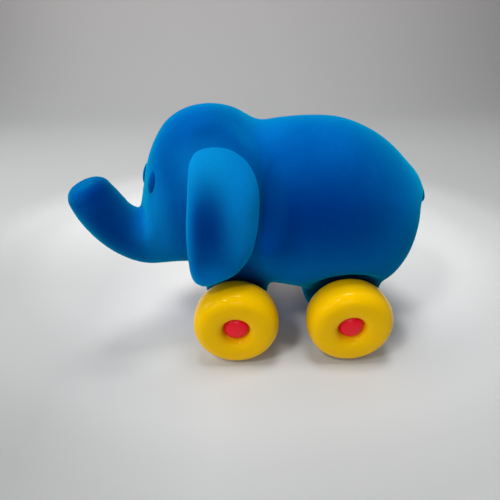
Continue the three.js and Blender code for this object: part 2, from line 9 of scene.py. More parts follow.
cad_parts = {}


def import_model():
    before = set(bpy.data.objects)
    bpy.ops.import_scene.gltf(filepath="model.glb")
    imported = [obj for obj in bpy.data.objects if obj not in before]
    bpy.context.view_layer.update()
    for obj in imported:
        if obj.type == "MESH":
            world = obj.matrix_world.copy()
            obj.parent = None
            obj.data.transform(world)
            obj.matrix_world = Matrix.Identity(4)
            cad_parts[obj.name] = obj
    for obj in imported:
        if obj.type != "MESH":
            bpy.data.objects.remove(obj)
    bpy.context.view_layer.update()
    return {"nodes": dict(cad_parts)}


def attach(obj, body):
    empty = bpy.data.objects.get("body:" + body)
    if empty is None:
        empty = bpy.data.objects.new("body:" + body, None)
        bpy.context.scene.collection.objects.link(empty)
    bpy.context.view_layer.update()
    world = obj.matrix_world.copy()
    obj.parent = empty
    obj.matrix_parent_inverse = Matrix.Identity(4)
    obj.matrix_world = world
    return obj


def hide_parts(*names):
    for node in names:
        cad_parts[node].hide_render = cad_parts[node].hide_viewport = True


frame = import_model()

MM = 0.001

# Camera, at the photograph's angle
CAMERA_PLACE = (-5.3, -165.0, 130.3)
CAMERA_PITCH = math.radians(29.71)
CAMERA_ROLL = math.radians(-0.97)
FOCAL_PIXELS = 392.6
PICTURE_PIXELS = 500
SENSOR_WIDTH = 36.0

# Wheels and running gear
WHEEL_RADIUS = 18.5
WHEEL_WIDTH = 17.0
WHEEL_WALL = 2.4
TRACK_WIDTH = 80.0
FRONT_AXLE_X = -11.8
REAR_AXLE_X = 37.2
AXLE_Z = WHEEL_RADIUS
AXLE_RADIUS = 2.0
HUB_MOUTH_RADIUS = 6.0
RING_INNER_RADIUS = 5.2
HUB_RECESS_DEPTH = 5.6
HUB_TUBE_RADIUS = 4.4
TREAD_FLAT_WIDTH = 4.0
RIM_LIP_DEPTH = 2.2
RIB_COUNT = 6
RIB_THICKNESS = 1.5
RIB_SETBACK = 3.0
WHEEL_ROUNDNESS = 2.6
HUB_ROUNDNESS = 3.4
CROWN_SLACK = 0.05
RUNNING_GAP = 0.1
SEAT_GAP = 0.3
CAP_RADIUS = 5.4
CAP_RIM_THICKNESS = 1.6
CAP_DOME_RISE = 2.0
CAP_SOCKET_DEPTH = 1.4
WHEEL_MID_Y = TRACK_WIDTH / 2 - WHEEL_WIDTH / 2
FOOT_FACE_Y = 21.0
BUSH_BARREL_RADIUS = 3.4
INSIDE_HALF_WIDTH = WHEEL_WIDTH / 2 - WHEEL_WALL
BORE_CHAMFER = 0.3
# Corner between the recess's floor and its mouth: inset of its foot, inset of its top, height
RECESS_CORNER = [0.5, 0.1, 0.4]
LIP_ROUND = 0.4
TUBE_CHAMFER = 0.5
# Arcs of the wheel's section, in half turns: 0 faces the axle, 0.5 outward and 1 the tread
CROWN_ARC_END = 0.92
BACK_ARC = [1.08, 1.34]
INSIDE_ARC = [0.2, 1.0]
# How far a rib's outer edge lies below the crown's inside, at the hub, the shoulder and the rim
RIB_HUB_DROP = 4.2
RIB_SHOULDER_DROP = 0.4
RIB_SHOULDER_INSET = 3.5
RIB_RIM_DROP = 6.0
RIB_FACES = [(0, 1, 3, 2), (8, 10, 11, 9), (0, 4, 5, 1), (4, 8, 9, 5), (2, 3, 7, 6), (6, 7, 11, 10),
             (0, 2, 6, 4), (4, 6, 10, 8), (1, 5, 7, 3), (5, 9, 11, 7)]
CAP_EDGE_BREAK = 0.3
CAP_RIM_ROUND = 0.5
CAP_DOME_POWER = 0.8
WHEEL_SEGMENTS = 120
WELL_SEGMENTS = 96
CAP_SEGMENTS = 72
AXLE_WAY_SEGMENTS = 48
CUT_OVERRUN = 6.0

# Animal
NECK_X = -1.3
TORSO_LENGTH = 71.0
TORSO_WIDTH = 65.0
BELLY_Z = 20.6
BACK_Z = 98.8
HEAD_LENGTH = 52.6
HEAD_WIDTH = 54.0
HEAD_TAPER = 0.14
HEAD_TAPER_LENGTH = 20.0
CHIN_Z = 41.8
HEAD_TOP_Z = 104.8
HEAD_TURN = math.radians(22)
NECK_TWIST_LENGTH = 25.0
TRUNK_REACH = 24.5
TRUNK_RISE = 40.0
TRUNK_WIDTH = 22.0
TRUNK_TIP_ROUND = 4.5
FACE_X = NECK_X - HEAD_LENGTH
BODY_FULLNESS = 2.15
# Ribs: x and z of the upper edge, x and z of the lower edge, and half the width, as shares
TRUNK_RIBS = [
    [0.33, 0.93, 0.985, 0.79, 0.41],
    [0.3, 0.9, 0.955, 0.725, 0.45],
    [0.26, 0.865, 0.905, 0.635, 0.48],
    [0.215, 0.815, 0.815, 0.52, 0.5],
    [0.165, 0.765, 0.69, 0.395, 0.515],
    [0.095, 0.69, 0.515, 0.265, 0.53],
    [0, 0.64, 0.3, 0.15, 0.54],
]
HEAD_RIBS = [
    [0.962, 0.397, 1.068, 0.055, 0.214],
    [0.94, 0.465, 1.01, 0.028, 0.217],
    [0.914, 0.562, 0.95, 0.01, 0.223],
    [0.868, 0.699, 0.875, 0, 0.24],
    [0.793, 0.824, 0.779, -0.006, 0.29],
    [0.684, 0.929, 0.663, -0.015, 0.372],
    [0.529, 0.99, 0.529, -0.045, 0.44],
    [0.356, 0.998, 0.365, -0.095, 0.487],
    [0.183, 0.959, 0.192, -0.16, 0.5],
]
TORSO_RIBS = [
    [0, 0.976, 0, 0.056, 0.443],
    [0.137, 0.984, 0.15, 0.025, 0.47],
    [0.308, 0.992, 0.315, 0, 0.492],
    [0.48, 0.98, 0.493, -0.005, 0.5],
    [0.637, 0.93, 0.658, 0, 0.485],
    [0.765, 0.86, 0.795, 0.03, 0.44],
    [0.873, 0.77, 0.884, 0.11, 0.365],
    [0.945, 0.67, 0.942, 0.225, 0.265],
    [0.984, 0.57, 0.977, 0.36, 0.15],
    [0.995, 0.5, 0.993, 0.43, 0.06],
]
FRONT_FOOT_LENGTH = 31.0
REAR_FOOT_LENGTH = 38.0
REAR_FOOT_SETBACK = 0.5
FOOT_WIDTH = 45.0
FOOT_BOTTOM_Z = 8.5
FOOT_ROOT_Z = 46.0
FOOT_SQUARENESS = 3.2
# Rows of a foot from the ground up: share of the height, of the length and of the width
FOOT_ROWS = [
    [0, 0.5, 0.7], [0.025, 0.68, 0.85], [0.09, 0.84, 0.95], [0.22, 0.93, 1], [0.5, 1, 1], [1, 1, 1],
]
WHEEL_WELL_GAP = 1.9
WHEEL_WELL_FILLET = 3.0
SKIN_RINGS = 226
SKIN_SIDES = 120
SKIN_VOXEL = 0.9
SKIN_RELAX_ROUNDS = 4
SKIN_RELAX_WEIGHT = 0.6
FOOT_RELAX_ROUNDS = 26
FOOT_RELAX_TOP_Z = 50.0
FOOT_RELAX_BLEND = 14.0
TRUNK_TIP_STEPS = 7
FOOT_RINGS = 31
FOOT_SIDES = 96
EAR_LENGTH = 30.0
EAR_HEIGHT = 56.2
EAR_THICKNESS = 8.0
EAR_RIM_ROUND = 3.0
EAR_SHOULDER_ROUND = 9.0
EAR_FRONT_X = -36.5
EAR_TIP_Z = 38.6
EAR_TOE_IN = math.radians(9)
EAR_OUTLINE = [
    [0.15, 0], [0.06, 0.05], [0.015, 0.13], [0, 0.28], [0.01, 0.45],
    [0.053, 0.62], [0.105, 0.785], [0.142, 0.908], [0.215, 0.982], [0.37, 1.003],
    [0.53, 1], [0.69, 0.975], [0.845, 0.91], [0.965, 0.805], [1.02, 0.67],
    [1.015, 0.525], [0.98, 0.385], [0.9, 0.265], [0.77, 0.155], [0.585, 0.065],
    [0.4, 0.025], [0.26, -0.005],
]
# Where the rounder shoulder starts and is full, by the larger of the shares along and up
EAR_SHOULDER = [0.6, 0.95]
# How the ear's outer face falls away from its crest, and how the skin is seated against it
EAR_CREST = 33.4
EAR_TOP_FALL = 12.5
EAR_REAR_FALL = 6.5
EAR_LOW_FALL = 3.0
EAR_SEAT_DEPTH = 2.0
EAR_SEAT_BLEND = 7.0
EAR_SEAT_EXTRA = 2.0
EAR_SEAT_EXTRA_FROM = 2.0
EAR_SEAT_FROM_Y = 12.0
EAR_FALL_START = 0.3
EAR_FALL_LIMIT = 1.3
EAR_TOP_POWER = 2.2
EAR_OUTLINE_SIDES = 144
EAR_FACE_STEPS = 12
EAR_RIM_STEPS = 33
EAR_REAR_LEAST = 0.4
# Where the skin is lifted to meet an ear: up to this gap, and not at its tip or front edge
EAR_LIFT_LIMIT = 6.0
EAR_LIFT_FADE = 4.0
EAR_LIFT_TIP_SHARE = 0.4
EAR_LIFT_FRONT_SHARE = 0.3
EYE_WIDTH = 4.9
EYE_HEIGHT = 9.6
EYE_DEPTH = 3.4
EYE_SINK = 0.8
EYE_ALONG = 0.386
EYE_AROUND = 0.095
TAIL_WIDTH = 9.0
TAIL_THICKNESS = 11.4
TAIL_ROOT_SHARE = 0.15
TAIL_RIDGE = 2.6
TAIL_ROOT_REACH = 24.0
TAIL_ALONG = [0.89, 1.0]
# The rump's swell into the tail, along the tail's length: where it starts and ends, and its slopes
TAIL_SWELL_START = -0.2
TAIL_SWELL_RISE = 0.8
TAIL_SWELL_END = 0.78
TAIL_SWELL_FALL = 0.45
TAIL_SWELL_DEPTH = 16.0
TAIL_SWELL_FADE = 8.0
TAIL_RIDGE_CREST = 3.0
TAIL_SWELL_FROM_Z = 40.0
TAIL_SWELL_BEHIND = 14.0
TAIL_LINE_START = -0.6
TAIL_LINE_STEPS = 90
SMALL_SIDES = 48
SMALL_RINGS = 25

# Patches painted lighter or darker on the flock, as a middle, half sizes, a share and a colour
# On the body, painted light and shade: a lighter underside, cheek, back, neck and rump, and darker
# flanks, trunk and skin behind the ears
BODY_LIGHT_AND_SHADE_PATCHES = [
    ((10, 0, 18), (90, 70, 38), 0.8, (0.001, 0.1, 0.78)),
    ((22, 32, 67), (50, 40, 30), 0.75, (0.0, 0.014, 0.19)),
    ((-59, 30, 80), (12, 40, 17), 0.8, (0.0, 0.01, 0.13)),
    ((-57, 30, 67), (17, 40, 25), 0.7, (0.0, 0.013, 0.17)),
    ((-71, 28, 80), (13, 40, 20), 0.6, (0.0, 0.02, 0.2)),
    ((-42, 26, 64), (12, 30, 34), 0.75, (0.002, 0.2, 0.56)),
    ((2, 10, 98), (18, 30, 14), 0.22, (0.002, 0.2, 0.6)),
    ((6, 32, 60), (15, 24, 28), 0.55, (0.0, 0.01, 0.15)),
    ((-20, 32, 88), (20, 20, 16), 0.5, (0.002, 0.2, 0.55)),
    ((66, 26, 72), (24, 40, 34), 0.6, (0.0, 0.08, 0.55)),
    # Painted shade in and around the wheel wells
    ((-11.8, 20, 18), (32, 16, 33), 2.0, (0.0, 0.004, 0.05)),
    ((37.2, 20, 18), (35, 16, 33), 2.2, (0.0, 0.003, 0.04)),
]
# On the ears, painted light and shade: a paler top, rear, lower edge and front, and a darker middle
EAR_LIGHT_AND_SHADE_PATCHES = [
    ((-22, 36, 92), (34, 40, 34), 1.0, (0.002, 0.24, 0.6)),
    ((-4, 36, 70), (17, 40, 40), 1.0, (0.002, 0.26, 0.76)),
    ((-22, 36, 40), (24, 40, 18), 0.8, (0.001, 0.18, 0.64)),
    ((-21, 38, 69), (11.5, 40, 25), 0.75, (0.0, 0.012, 0.2)),
    ((-33, 40, 64), (11, 40, 40), 0.9, (0.001, 0.2, 0.6)),
]
# Darker over the eyes
EYE_DARK_PATCHES = [((-50, 16, 76), (30, 40, 30), 1.0, (0.0, 0.03, 0.24))]

# Lamps: azimuth from the camera's side towards the picture's right, elevation, size in metres and
# watts. The target and the distance are in metres too.
LAMP_DISTANCE = 0.7
LAMP_TARGET = (0, 0, 0.05)
LAMPS = [
    ("top", 0, 90, 0.2, 2.9), ("right_back", 120, 52, 0.7, 0.35), ("back", 180, 52, 0.9, 1.85),
    ("left_back", 240, 52, 0.8, 1.95), ("key", 318, 51, 0.1, 1.4), ("front", 0, 22, 0.3, 0.95),
    ("left", 270, 22, 0.3, 0.9), ("left_front", 315, 22, 0.3, 0.7),
]
WORLD_COLOUR = (0.96, 0.98, 1.0)
WORLD_STRENGTH = 0.02
BACKGROUND_COLOUR = (176, 172, 171)

# Table and wall, in millimetres
TABLE_FRONT_Y = -900
TABLE_BACK_Y = 500
TABLE_HALF_WIDTH = 1300
WALL_BEND = 250
WALL_TOP_Z = 1400
# The table's greys, painted light that darkens with distance from a middle as a share of a spread,
# up to a reach
TABLE_MIDDLE = (0, 80, 0)
TABLE_SPREAD = (1200, 1000, 1e9)
TABLE_GREY_REACH = 0.3
TABLE_GREYS = [
    (0.3, 210), (0.38, 205), (0.44, 194), (0.5, 190), (0.55, 180), (0.6, 173), (0.66, 172),
]
# Painted shade across the front of the table from left to right, darkest on the left, with its half
# width and its fade in metres
TABLE_ACROSS = [(0.05, 0.7), (0.4, 0.98), (0.6, 0.98), (0.95, 1.04)]
TABLE_ACROSS_HALF = 0.1
TABLE_FRONT_FADE = [0.14, 0.02]
# The paler area under the head, painted light that lightens the head's shadow, in millimetres
PALE_MIDDLE = (-55, -25, 0)
PALE_HALF = (50, 24, 1e9)
PALE_TINT = (1.18, 1.18, 1.17)
WALL_COLOUR = (202, 196, 196)
# The height in metres over which the table's colour becomes the wall's
WALL_FADE_HEIGHT = 0.4


# Curves and surfaces, in millimetres
def spline(points, places):
    """A curve through evenly spaced points, at places from 0 to 1."""
    points = np.asarray(points, float)
    last = len(points) - 1
    position = np.clip(np.asarray(places, float), 0, 1) * last
    at = np.minimum(position.astype(int), last)
    share = (position - at)[..., None]
    p0 = points[np.maximum(at - 1, 0)]
    p1 = points[at]
    p2 = points[np.minimum(at + 1, last)]
    p3 = points[np.minimum(at + 2, last)]
    v0 = (p2 - p0) / 2
    v1 = (p3 - p1) / 2
    cubic = (2 * p1 - 2 * p2 + v0 + v1) * share**3
    return cubic + (3 * p2 - 3 * p1 - 2 * v0 - v1) * share**2 + v0 * share + p1


def side_name(side):
    return "left" if side < 0 else "right"


def round_power(value, fullness):
    return np.sign(value) * np.abs(value) ** (2 / fullness)


def body_ribs():
    rows = []
    for ux, uz, lx, lz, w in TRUNK_RIBS:
        rows.append([FACE_X - ux * TRUNK_REACH, CHIN_Z + uz * TRUNK_RISE,
                     FACE_X - lx * TRUNK_REACH, CHIN_Z + lz * TRUNK_RISE, w * TRUNK_WIDTH])
    for ux, uz, lx, lz, w in HEAD_RIBS:
        height = HEAD_TOP_Z - CHIN_Z
        rows.append([NECK_X - ux * HEAD_LENGTH, CHIN_Z + uz * height,
                     NECK_X - lx * HEAD_LENGTH, CHIN_Z + lz * height, w * HEAD_WIDTH])
    for ux, uz, lx, lz, w in TORSO_RIBS:
        height = BACK_Z - BELLY_Z
        rows.append([NECK_X + ux * TORSO_LENGTH, BELLY_Z + uz * height,
                     NECK_X + lx * TORSO_LENGTH, BELLY_Z + lz * height, w * TORSO_WIDTH])
    return rows


def turn_about_neck(points, angle):
    """Turns points to the animal's left about the neck."""
    x = points[..., 0] - NECK_X
    y = points[..., 1].copy()
    turned = points.copy()
    turned[..., 0] = NECK_X + x * np.cos(angle) - y * np.sin(angle)
    turned[..., 1] = x * np.sin(angle) + y * np.cos(angle)
    return turned


def smooth_share(value):
    value = np.clip(value, 0, 1)
    return value * value * (3 - 2 * value)


RIBS = body_ribs()


def skin_point(along, around):
    """Points of the skin: along runs 0 to 1 from trunk to rump, around is an angle from the top."""
    along, around = np.broadcast_arrays(np.asarray(along, float), np.asarray(around, float))
    rib = spline(RIBS, along)
    up = (1 + round_power(np.cos(around), BODY_FULLNESS)) / 2
    x = rib[..., 2] + (rib[..., 0] - rib[..., 2]) * up
    z = rib[..., 3] + (rib[..., 1] - rib[..., 3]) * up
    y = rib[..., 4] * round_power(np.sin(around), BODY_FULLNESS)
    upper = smooth_share((up - 0.5) * 2)
    y *= 1 - HEAD_TAPER * upper * smooth_share((NECK_X - x) / HEAD_TAPER_LENGTH)
    turn = HEAD_TURN * smooth_share((NECK_X - x) / NECK_TWIST_LENGTH)
    return turn_about_neck(np.stack([x, y, z], -1), turn)


def skin_normal(along, around):
    """The outward direction of the skin at one place."""
    step = 0.002
    turn = 0.02
    ahead = skin_point(min(along + step, 1), around) - skin_point(max(along - step, 0), around)
    across = skin_point(along, around + turn) - skin_point(along, around - turn)
    out = np.cross(ahead, across)
    return out / np.linalg.norm(out)


# Meshes
def mesh_object(name, vertices, faces, smooth=True):
    """An object from vertices in millimetres."""
    mesh = bpy.data.meshes.new(name)
    points = [tuple(v) for v in np.asarray(vertices) * MM]
    mesh.from_pydata(points, [], [list(map(int, f)) for f in faces])
    mesh.validate()
    obj = bpy.data.objects.new(name, mesh)
    bpy.context.collection.objects.link(obj)
    if smooth:
        mesh.polygons.foreach_set("use_smooth", [True] * len(mesh.polygons))
    return obj


def loft(name, rings):
    """A closed skin through rings of equally many points, with a point closing each end."""
    rings = [np.asarray(r) for r in rings]
    count = len(rings[0])
    vertices = np.concatenate(rings + [rings[0].mean(0)[None], rings[-1].mean(0)[None]])
    faces = []
    last = (len(rings) - 1) * count
    for r in range(0, last, count):
        for i in range(count):
            j = (i + 1) % count
            faces.append((r + i, r + j, r + count + j, r + count + i))
    first_end = last + count
    for i in range(count):
        j = (i + 1) % count
        faces.append((first_end, j, i))
        faces.append((first_end + 1, last + i, last + j))
    obj = mesh_object(name, vertices, faces)
    face_out(obj)
    return obj


def face_out(obj):
    """Turns the faces of a closed mesh outward."""
    mesh = obj.data
    points = np.empty(len(mesh.vertices) * 3)
    mesh.vertices.foreach_get("co", points)
    points = points.reshape(-1, 3)
    mesh.calc_loop_triangles()
    triangles = np.empty(len(mesh.loop_triangles) * 3, np.int32)
    mesh.loop_triangles.foreach_get("vertices", triangles)
    a, b, c = (points[triangles.reshape(-1, 3)[:, k]] for k in range(3))
    if np.einsum("ij,ij->", a, np.cross(b, c)) < 0:
        mesh.flip_normals()


def apply_modifiers(obj):
    evaluated = obj.evaluated_get(bpy.context.evaluated_depsgraph_get())
    mesh = bpy.data.meshes.new_from_object(evaluated)
    obj.modifiers.clear()
    old = obj.data
    obj.data = mesh
    bpy.data.meshes.remove(old)
    mesh.polygons.foreach_set("use_smooth", [True] * len(mesh.polygons))


def boolean(obj, tool, operation):
    """Joins the tool to obj, or cuts it away, and removes the tool."""
    modifier = obj.modifiers.new("cut", "BOOLEAN")
    modifier.operation = operation
    modifier.solver = "MANIFOLD"
    modifier.object = tool
    apply_modifiers(obj)
    bpy.data.objects.remove(tool)


def remesh(obj, voxel):
    modifier = obj.modifiers.new("remesh", "REMESH")
    modifier.mode = "VOXEL"
    modifier.voxel_size = voxel * MM
    modifier.use_smooth_shade = True
    apply_modifiers(obj)


def read_points(obj):
    points = np.empty(len(obj.data.vertices) * 3)
    obj.data.vertices.foreach_get("co", points)
    return points.reshape(-1, 3) / MM


def write_points(obj, points):
    obj.data.vertices.foreach_set("co", (points * MM).ravel())
    obj.data.update()


def relax(obj, rounds, weight):
    """Smooths a mesh; weight is a share for each vertex."""
    edges = np.empty(len(obj.data.edges) * 2, np.int32)
    obj.data.edges.foreach_get("vertices", edges)
    edges = edges.reshape(-1, 2)
    points = read_points(obj)
    count = np.bincount(edges.ravel(), minlength=len(points))[:, None]
    for _ in range(rounds):
        total = np.zeros_like(points)
        for k in range(3):
            total[:, k] = np.bincount(edges[:, 0], points[edges[:, 1], k], len(points))
            total[:, k] += np.bincount(edges[:, 1], points[edges[:, 0], k], len(points))
        points += (total / np.maximum(count, 1) - points) * weight[:, None] / 2
    write_points(obj, points)


def revolve(name, profile, segments, middle=(0, 0, 0), side=1, on_axis=False):
    """Turns a closed (radius, y) section about the Y axis, where on_axis leaves no seam."""
    profile = np.asarray(profile, float)
    rings = []
    for k in range(segments):
        angle = 2 * math.pi * k / segments
        rings.append(np.stack([profile[:, 0] * math.sin(angle), side * profile[:, 1],
                               profile[:, 0] * math.cos(angle)], -1))
    count = len(profile)
    vertices = np.concatenate(rings)
    faces = []
    for k in range(segments):
        a = k * count
        b = ((k + 1) % segments) * count
        for i in range(count - 1 if on_axis else count):
            j = (i + 1) % count
            faces.append((a + i, a + j, b + j, b + i))
    obj = mesh_object(name, vertices + np.asarray(middle), faces)
    weld = obj.modifiers.new("weld", "WELD")
    weld.merge_threshold = 0.00001
    apply_modifiers(obj)
    face_out(obj)
    return obj


# The animal
def body_skin():
    along = np.linspace(0, 1, SKIN_RINGS)[:, None]
    around = np.linspace(0, 2 * math.pi, SKIN_SIDES, endpoint=False)[None, :]
    rings = list(skin_point(along, around))
    first = rings[0]
    middle = first.mean(0)
    out = np.cross(first[0] - first[SKIN_SIDES // 2], (0, 1, 0))
    out /= np.linalg.norm(out)
    inset = TRUNK_TIP_ROUND / np.linalg.norm(first[0] - middle)
    tip = []
    for step in range(1, TRUNK_TIP_STEPS):
        angle = step / TRUNK_TIP_STEPS * math.pi / 2
        scale = 1 - inset * (1 - math.cos(angle))
        tip.append(middle + (first - middle) * scale + out * TRUNK_TIP_ROUND * math.sin(angle))
    return loft("animal_body", tip[::-1] + rings)


def foot_block(middle_x, length):
    rows = spline(FOOT_ROWS, np.linspace(0, 1, FOOT_RINGS))
    angle = np.linspace(0, 2 * math.pi, FOOT_SIDES, endpoint=False)
    rings = []
    for rise, long, wide in rows:
        x = middle_x + length / 2 * long * round_power(np.cos(angle), FOOT_SQUARENESS)
        y = FOOT_WIDTH / 2 * wide * round_power(np.sin(angle), FOOT_SQUARENESS)
        z = np.full_like(x, FOOT_BOTTOM_Z + rise * (FOOT_ROOT_Z - FOOT_BOTTOM_Z))
        rings.append(np.stack([x, y, z], -1))
    return loft("foot", rings)


def wheel_well(axle_x, side):
    radius = WHEEL_RADIUS + WHEEL_WELL_GAP
    profile = [[0, FOOT_FACE_Y]]
    for angle in np.linspace(0, math.pi / 2, 9):
        profile.append([radius - WHEEL_WELL_FILLET * (1 - math.sin(angle)),
                        FOOT_FACE_Y + WHEEL_WELL_FILLET * (1 - math.cos(angle))])
    outer = TRACK_WIDTH / 2 + CUT_OVERRUN
    profile += [[radius, outer], [0, outer]]
    return revolve("well", profile, WELL_SEGMENTS, (axle_x, 0, AXLE_Z), side, on_axis=True)


def axle_way(axle_x):
    half = FOOT_FACE_Y + CUT_OVERRUN
    radius = BUSH_BARREL_RADIUS + SEAT_GAP
    profile = [[0, -half], [radius, -half], [radius, half], [0, half]]
    return revolve("way", profile, AXLE_WAY_SEGMENTS, (axle_x, 0, AXLE_Z), on_axis=True)


def animal_body():
    """Trunk, head, torso and feet as one skin, with the wheel wells and axle ways cut out."""
    body = body_skin()
    boolean(body, foot_block(FRONT_AXLE_X, FRONT_FOOT_LENGTH), "UNION")
    boolean(body, foot_block(REAR_AXLE_X + REAR_FOOT_SETBACK, REAR_FOOT_LENGTH), "UNION")
    for axle_x in (FRONT_AXLE_X, REAR_AXLE_X):
        for side in (-1, 1):
            boolean(body, wheel_well(axle_x, side), "DIFFERENCE")
        boolean(body, axle_way(axle_x), "DIFFERENCE")
    remesh(body, SKIN_VOXEL)
    z = read_points(body)[:, 2]
    relax(body, SKIN_RELAX_ROUNDS, np.full(len(z), SKIN_RELAX_WEIGHT))
    relax(body, FOOT_RELAX_ROUNDS, smooth_share((FOOT_RELAX_TOP_Z - z) / FOOT_RELAX_BLEND))
    points = read_points(body)
    for side in (-1, 1):
        points = seat_ear(points, side)
    write_points(body, raise_tail_root(points))
    return body


def ear_outline():
    places = np.linspace(0, 1, EAR_OUTLINE_SIDES, endpoint=False)
    return spline(EAR_OUTLINE + EAR_OUTLINE[:1], places)


def ear_face(place):
    """How far an ear's outer face stands from the middle plane of the head."""
    along, up = place[..., 0], place[..., 1]
    start = EAR_FALL_START
    upward = np.clip((up - start) / (1 - start), 0, EAR_FALL_LIMIT)
    rearward = np.clip((along - start) / (1 - start), 0, EAR_FALL_LIMIT)
    downward = np.clip((start - up) / start, 0, EAR_FALL_LIMIT)
    top = EAR_TOP_FALL * upward**EAR_TOP_POWER
    upper = EAR_REAR_LEAST + (1 - EAR_REAR_LEAST) * smooth_share(up * 2)
    rear = EAR_REAR_FALL * rearward**2 * upper
    low = EAR_LOW_FALL * downward**2
    return EAR_CREST - np.sqrt(top**2 + rear**2) - low


def ear(side):
    """One flap: rings round its outline, over the rim and across both faces."""
    outline = ear_outline()
    start, full = EAR_SHOULDER
    shoulder = smooth_share((outline.max(1) - start) / (full - start))
    # Each row is a share of the flat face, a share of the rounded edge and a share outward
    rows = [[k / EAR_FACE_STEPS, 0, -1] for k in range(1, EAR_FACE_STEPS)]
    for angle in np.linspace(-math.pi / 2, math.pi / 2, EAR_RIM_STEPS):
        rows.append([1, math.cos(angle), math.sin(angle)])
    rows += [[k / EAR_FACE_STEPS, 0, 1] for k in range(EAR_FACE_STEPS - 1, 0, -1)]
    rings = []
    for face, edge, out in rows:
        radius = EAR_RIM_ROUND + (EAR_SHOULDER_ROUND - EAR_RIM_ROUND) * shoulder * (out > 0)
        inset = radius / (EAR_LENGTH / 2)
        scale = ((1 - inset) * face + inset * edge)[:, None]
        place = 0.5 + (outline - 0.5) * scale
        y = side * (ear_face(place) + EAR_THICKNESS / 2 * (out - 1))
        x = EAR_FRONT_X + place[:, 0] * EAR_LENGTH
        z = EAR_TIP_Z + place[:, 1] * EAR_HEIGHT
        points = np.stack([x, y, z], -1)
        rings.append(turn_about_neck(points, HEAD_TURN + side * EAR_TOE_IN))
    return loft(side_name(side) + "_ear_flap", rings)


def outline_distance(spot, outline, size):
    """Whether each place is inside a closed outline, and its distance from it in millimetres."""
    inside = np.zeros(len(spot), bool)
    distance = np.full(len(spot), np.inf)
    for a, b in zip(outline, np.roll(outline, -1, 0)):
        along = (b - a) * size
        offset = (spot - a) * size
        share = np.clip(offset @ along / (along @ along), 0, 1)
        gap = np.linalg.norm(offset - share[:, None] * along, axis=1)
        distance = np.minimum(distance, gap)
        crosses = (a[1] > spot[:, 1]) != (b[1] > spot[:, 1])
        slope = (b[0] - a[0]) / (b[1] - a[1] + 1e-12)
        inside ^= crosses & (spot[:, 0] < a[0] + (spot[:, 1] - a[1]) * slope)
    return inside, distance


def seat_ear(points, side):
    """Lets the skin of the body meet the edge of an ear with a soft valley."""
    angle = HEAD_TURN + side * EAR_TOE_IN
    size = np.array([EAR_LENGTH, EAR_HEIGHT])
    local = turn_about_neck(points, -angle)
    place = (local[:, [0, 2]] - (EAR_FRONT_X, EAR_TIP_Z)) / size
    in_reach = (side * local[:, 1] > EAR_SEAT_FROM_Y) & (np.abs(place - 0.5).max(1) < 1)
    near = np.flatnonzero(in_reach)
    spot = place[near]
    inside, distance = outline_distance(spot, ear_outline(), size)
    gap = ear_face(spot) - EAR_SEAT_DEPTH - side * local[near, 1]
    blend = EAR_SEAT_BLEND + np.clip(-gap - EAR_SEAT_EXTRA_FROM, 0, EAR_SEAT_EXTRA)
    weight = np.where(inside, 1.0, smooth_share(1 - distance / blend))
    lift = smooth_share((EAR_LIFT_LIMIT - gap) / EAR_LIFT_FADE)
    lift *= smooth_share(spot[:, 1] / EAR_LIFT_TIP_SHARE)
    lift *= smooth_share(spot[:, 0] / EAR_LIFT_FRONT_SHARE)
    weight = np.where(gap > 0, weight * lift, weight)
    local[near, 1] += side * gap * weight
    return turn_about_neck(local, angle)


def eye(side):
    """A tall button, sunk a little into the skin."""
    around = side * EYE_AROUND * 2 * math.pi
    out = skin_normal(EYE_ALONG, around)
    place = skin_point(EYE_ALONG, around) - out * EYE_SINK
    across = np.cross((0, 0, 1), out)
    across /= np.linalg.norm(across)
    tall = np.cross(out, across)
    rings = []
    angle = np.linspace(0, 2 * math.pi, SMALL_SIDES, endpoint=False)[:, None]
    for rise in np.linspace(-math.pi / 2, math.pi / 2, SMALL_RINGS + 2)[1:-1]:
        ring = np.cos(angle) * across * EYE_WIDTH / 2 + np.sin(angle) * tall * EYE_HEIGHT / 2
        rings.append(place + ring * math.cos(rise) + out * EYE_DEPTH / 2 * math.sin(rise))
    return loft(side_name(side) + "_eye_button", rings)


def tail_swell(share):
    """The tail's fullness along its length, 0 at both ends."""
    return np.sqrt(1 - (2 * share - 1) ** 4)


def tail_rise(share):
    """How far the tail stands proud of the rump, along its length."""
    reach = TAIL_ROOT_SHARE + (1 - TAIL_ROOT_SHARE) * share
    return TAIL_THICKNESS / 2 * reach * tail_swell(share)


def tail_along(share):
    return TAIL_ALONG[0] + (TAIL_ALONG[1] - TAIL_ALONG[0]) * share


def raise_tail_root(points):
    """Swells the rump into the root of the tail, so that only the tail's tip stands free."""
    shares = np.linspace(TAIL_LINE_START, 1, TAIL_LINE_STEPS)
    places = tail_along(shares)
    line = skin_point(places, 0.0)
    normals = np.array([skin_normal(place, 0.0) for place in places])
    points = points.copy()
    behind = points[:, 0] > line[:, 0].min() - TAIL_SWELL_BEHIND
    central = np.abs(points[:, 1]) < TAIL_ROOT_REACH
    near = np.flatnonzero(behind & central & (points[:, 2] > TAIL_SWELL_FROM_Z))
    offset = points[near][:, None, [0, 2]] - line[None, :, [0, 2]]
    distance = np.linalg.norm(offset, axis=2)
    at = distance.argmin(1)
    share = shares[at]
    swell = smooth_share((share - TAIL_SWELL_START) / TAIL_SWELL_RISE)
    swell *= smooth_share((TAIL_SWELL_END - share) / TAIL_SWELL_FALL)
    swell *= smooth_share((TAIL_SWELL_DEPTH - distance.min(1)) / TAIL_SWELL_FADE)
    slope = TAIL_ROOT_REACH - TAIL_RIDGE_CREST
    swell *= smooth_share((TAIL_ROOT_REACH - np.abs(points[near, 1])) / slope)
    points[near] += normals[at] * (TAIL_RIDGE * swell)[:, None]
    return points


